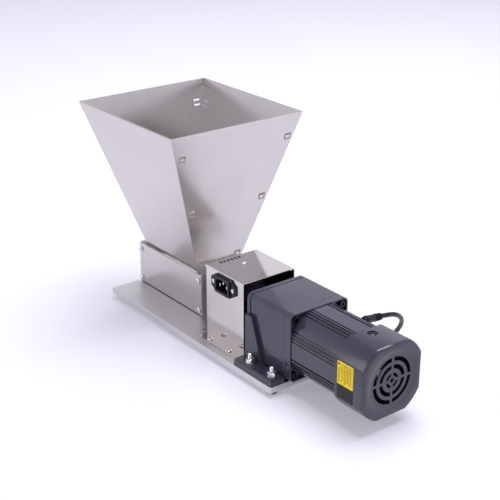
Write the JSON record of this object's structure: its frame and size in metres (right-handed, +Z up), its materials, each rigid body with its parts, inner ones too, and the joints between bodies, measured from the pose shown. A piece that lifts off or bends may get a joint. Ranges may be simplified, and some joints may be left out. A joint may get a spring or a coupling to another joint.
{
  "type": "grain mill",
  "caption": "Motor-driven roller grain mill: steel hopper over knurled rollers, shaft coupling under a cover, gearmotor on a bracket, all on one base plate.",
  "frame": {"origin": "middle of the length and width of the whole mill without its cord, on the surface it stands on", "axes": "+X from the hopper towards the fan cover, +Z up, Y = 0 is the hopper middle plane; the inlet faces -Y"},
  "size_m": [0.5276, 0.2072, 0.2842],
  "materials": {
    "brushed_aluminium": "satin brushed plate",
    "mill_steel": "machined satin",
    "hopper_steel": "brushed stainless sheet",
    "cover_steel": "polished stainless sheet",
    "roller_steel": "knurled, hardened",
    "bright_zinc": "zinc plated",
    "black_oxide": "blackened socket and pan screws",
    "bronze": "oil-filled bronze",
    "gear_steel": "ground",
    "bearing_steel": "ground",
    "motor_paint": "satin slate grey paint",
    "lamination_steel": "stacked laminations",
    "copper_winding": "enamelled copper",
    "black_plastic": "moulded",
    "switch_red": "moulded",
    "capacitor_plastic": "moulded",
    "fan_plastic": "moulded",
    "spider_rubber": "elastomer",
    "foot_rubber": "moulded",
    "cord_pvc": "smooth jacket",
    "label_yellow": "printed film"
  },
  "bodies": {
    "root": {"base_plate": "brushed_aluminium", "rubber_feet": "foot_rubber", "foot_screws": "bright_zinc", "end_plate_bolts": "bright_zinc", "bracket_studs": "bright_zinc", "end_plate_far": "mill_steel", "end_plate_drive": "mill_steel", "roller_bushes": "bronze", "adjuster_lock_screws": "bright_zinc", "mill_cover_left": "hopper_steel", "mill_cover_right": "hopper_steel", "mill_cover_screws": "bright_zinc", "hopper_end_drive": "hopper_steel", "hopper_end_far": "hopper_steel", "hopper_side_left": "hopper_steel", "hopper_side_right": "hopper_steel", "hopper_flange_screws": "bright_zinc", "power_inlet": "black_plastic", "inlet_pins": "bright_zinc", "inlet_screws": "bright_zinc", "switch_body": "black_plastic", "run_capacitor": "capacitor_plastic", "capacitor_screw": "bright_zinc", "coupling_cover": "cover_steel", "cover_screws": "bright_zinc", "foot_bracket": "motor_paint", "stud_nuts": "bright_zinc", "frame_screws": "black_oxide", "frame_nuts": "bright_zinc", "gearhead_case": "motor_paint", "gearhead_rear_plate": "mill_steel", "gearhead_bearings": "bearing_steel", "motor_flange": "motor_paint", "motor_housing": "motor_paint", "rear_end_bell": "mill_steel", "motor_bearings": "bearing_steel", "stator_core": "lamination_steel", "stator_windings": "copper_winding", "fan_cover": "motor_paint", "fan_cover_screws": "black_oxide", "label_plate": "label_yellow", "motor_strain_relief": "black_plastic", "cover_cable_gland": "black_plastic", "motor_cord": "cord_pvc"},
    "rotor": {"motor_shaft": "gear_steel", "rotor_core": "lamination_steel", "cooling_fan": "fan_plastic"},
    "intermediate": {"intermediate_gear_shaft": "gear_steel"},
    "drive_line": {"output_shaft": "gear_steel", "output_key": "gear_steel", "output_gear": "gear_steel", "coupling_hub_motor": "mill_steel", "coupling_spider": "spider_rubber", "coupling_hub_roller": "mill_steel", "coupling_set_screws": "bright_zinc", "driven_roller": "roller_steel"},
    "gap_adjuster_drive_body": {"gap_adjuster_drive": "mill_steel"},
    "gap_adjuster_far_body": {"gap_adjuster_far": "mill_steel"},
    "idler": {"idler_roller": "roller_steel"},
    "rocker": {"switch_rocker": "switch_red"}
  },
  "joints": [
    {"name": "motor_spin", "type": "hinge", "parent": "root", "child": "rotor", "pos_m": [0.175, -0.01735, 0.061], "axis": [1, 0, 0], "continuous": true},
    {"name": "intermediate_spin", "type": "hinge", "parent": "root", "child": "intermediate", "pos_m": [0.09, 0.00151, 0.05972], "axis": [1, 0, 0], "continuous": true},
    {"name": "roller_spin", "type": "hinge", "parent": "root", "child": "drive_line", "pos_m": [0, -0.01735, 0.043], "axis": [1, 0, 0], "continuous": true},
    {"name": "gap_adjust", "type": "hinge", "parent": "root", "child": "gap_adjuster_drive_body", "pos_m": [-0.085, 0.01735, 0.04375], "axis": [1, 0, 0], "range_deg": [-90, 90]},
    {"name": "gap_adjust_far", "type": "hinge", "parent": "root", "child": "gap_adjuster_far_body", "pos_m": [-0.223, 0.01735, 0.04375], "axis": [1, 0, 0], "range_deg": [-90, 90]},
    {"name": "idler_spin", "type": "hinge", "parent": "gap_adjuster_drive_body", "child": "idler", "pos_m": [-0.153, 0.01735, 0.043], "axis": [1, 0, 0], "continuous": true},
    {"name": "switch_rock", "type": "hinge", "parent": "root", "child": "rocker", "pos_m": [0.0017, 0.02225, 0.089], "axis": [1, 0, 0], "range_deg": [0, 20]}
  ],
  "couplings": [
    {"joint": "intermediate_spin", "follows": "motor_spin", "ratio": -0.28571},
    {"joint": "roller_spin", "follows": "motor_spin", "ratio": 0.077922},
    {"joint": "gap_adjust_far", "follows": "gap_adjust", "ratio": 1}
  ]
}
